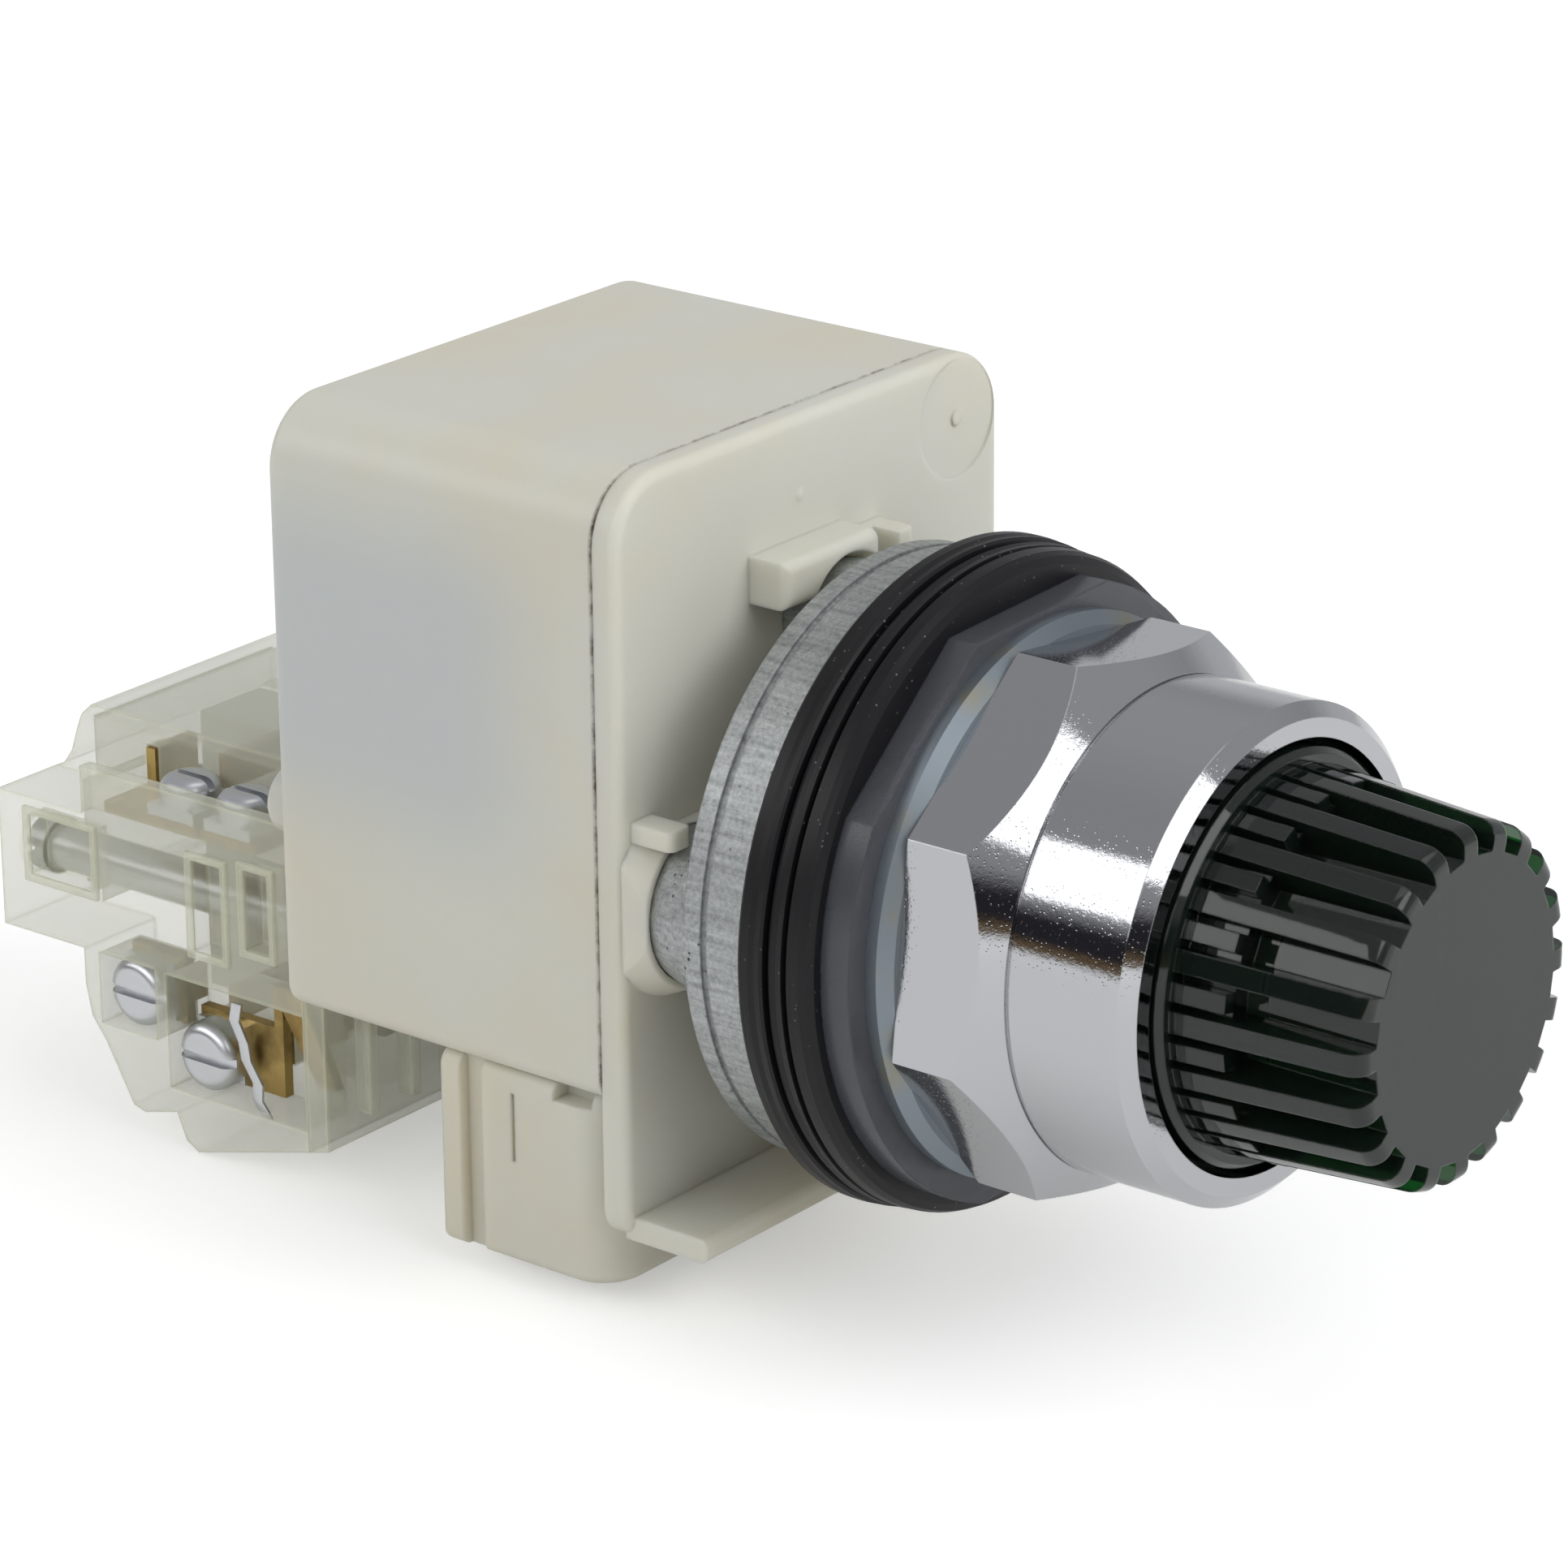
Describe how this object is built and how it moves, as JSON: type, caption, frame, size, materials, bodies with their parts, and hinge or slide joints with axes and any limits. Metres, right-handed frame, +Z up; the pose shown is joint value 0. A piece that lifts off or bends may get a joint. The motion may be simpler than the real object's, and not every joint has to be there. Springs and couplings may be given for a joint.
{
  "type": "illuminated push button",
  "caption": "Illuminated push button with a ribbed green lens, a chrome ring nut, a boxy transformer light module and a clear contact block behind it.",
  "frame": {"origin": "on the button's axis, where the gasket meets the front face of the rim of the zinc casting", "axes": "-Y along the button's axis towards whoever presses it, +Z up, +X to the right of someone who faces the lens"},
  "size_m": [0.044, 0.109, 0.0567],
  "materials": {
    "die_cast_zinc": "dull grey casting",
    "black_rubber": "matte",
    "clear_plastic": "clear, grey tint",
    "zinc_plated_steel": "blue-white zinc plating",
    "chrome": "bright",
    "green_lens": "transparent dark green",
    "white_nylon": "satin",
    "spring_steel": "drawn wire",
    "lamp_glass": "clear",
    "nickel_brass": "nickel plated",
    "brass": "rolled strip",
    "ivory_nylon": "satin, slightly translucent",
    "core_iron": "stacked laminations",
    "copper": "enamelled copper wire",
    "bright_steel": "ground rod",
    "clear_polycarbonate": "clear, faint yellow-green tint"
  },
  "bodies": {
    "operator": {"operator_base": "die_cast_zinc", "gasket": "black_rubber", "sleeve_seal": "black_rubber", "clear_washer": "clear_plastic", "trim_washer": "zinc_plated_steel", "spring_retainer": "zinc_plated_steel", "module_screws": "zinc_plated_steel", "block_screws": "zinc_plated_steel", "supply_screws": "zinc_plated_steel", "terminal_screws": "zinc_plated_steel", "terminal_clamps": "zinc_plated_steel", "ring_nut": "chrome", "socket_insulator": "white_nylon", "bobbin": "white_nylon", "return_spring": "spring_steel", "carrier_spring": "spring_steel", "lamp_bulb": "lamp_glass", "lamp_cap": "nickel_brass", "lamp_socket": "brass", "socket_contact": "brass", "supply_terminals": "brass", "nc_contacts": "brass", "no_contacts": "brass", "module_plate": "ivory_nylon", "transformer_cover": "ivory_nylon", "terminal_box": "ivory_nylon", "core": "core_iron", "primary_winding": "copper", "secondary_winding": "copper", "block_housing": "clear_polycarbonate", "block_front": "clear_polycarbonate"},
    "button": {"lens_cap": "green_lens", "lens_holder": "white_nylon"},
    "rod": {"push_rod": "bright_steel"},
    "carrier": {"contact_carrier": "white_nylon", "nc_bridges": "brass", "no_bridges": "brass", "contact_springs": "spring_steel"}
  },
  "joints": [
    {"name": "button_press", "type": "slide", "parent": "operator", "child": "button", "axis": [0, 1, 0], "range_m": [0, 0.004], "stiffness_N_per_m": 1200, "springref_m": -0.003, "deforming": ["return_spring"]},
    {"name": "rod_push", "type": "slide", "parent": "operator", "child": "rod", "axis": [0, 1, 0], "range_m": [0, 0.004]},
    {"name": "carrier_slide", "type": "slide", "parent": "operator", "child": "carrier", "axis": [0, 1, 0], "range_m": [0, 0.004], "stiffness_N_per_m": 300, "springref_m": -0.004, "deforming": ["carrier_spring"]}
  ],
  "couplings": [
    {"joint": "rod_push", "follows": "button_press", "ratio": 1},
    {"joint": "carrier_slide", "follows": "button_press", "ratio": 1}
  ]
}
